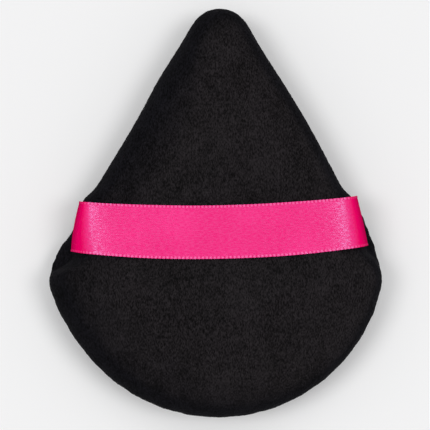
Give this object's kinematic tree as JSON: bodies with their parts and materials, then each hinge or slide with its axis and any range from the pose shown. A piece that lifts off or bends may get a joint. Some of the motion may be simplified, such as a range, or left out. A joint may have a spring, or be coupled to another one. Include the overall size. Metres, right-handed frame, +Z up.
{
  "type": "powder puff",
  "caption": "Teardrop velour powder puff with a foam core and a satin finger ribbon sewn into its rim seam.",
  "frame": {"origin": "under the middle of the pad's outline, on the surface that the powder side rests on", "axes": "+X to the right across the ribbon's length, +Y along the pad to its narrow tip, +Z up out of the strap side, through the ribbon"},
  "size_m": [0.0622, 0.078, 0.0129],
  "materials": {
    "velour": "matte",
    "foam": "matte",
    "satin": "satin",
    "thread": "matte"
  },
  "bodies": {
    "pad": {"strap_side_panel": "velour", "powder_side_panel": "velour", "foam_core": "foam", "ribbon_tail_left": "satin", "ribbon_tail_right": "satin", "needle_thread": "thread", "bobbin_thread": "thread", "closing_thread": "thread"},
    "ribbon": {"ribbon_span": "satin"}
  },
  "joints": [
    {"name": "ribbon_lift", "type": "slide", "parent": "pad", "child": "ribbon", "axis": [0, 0, 1], "range_m": [0, 0.006]}
  ]
}
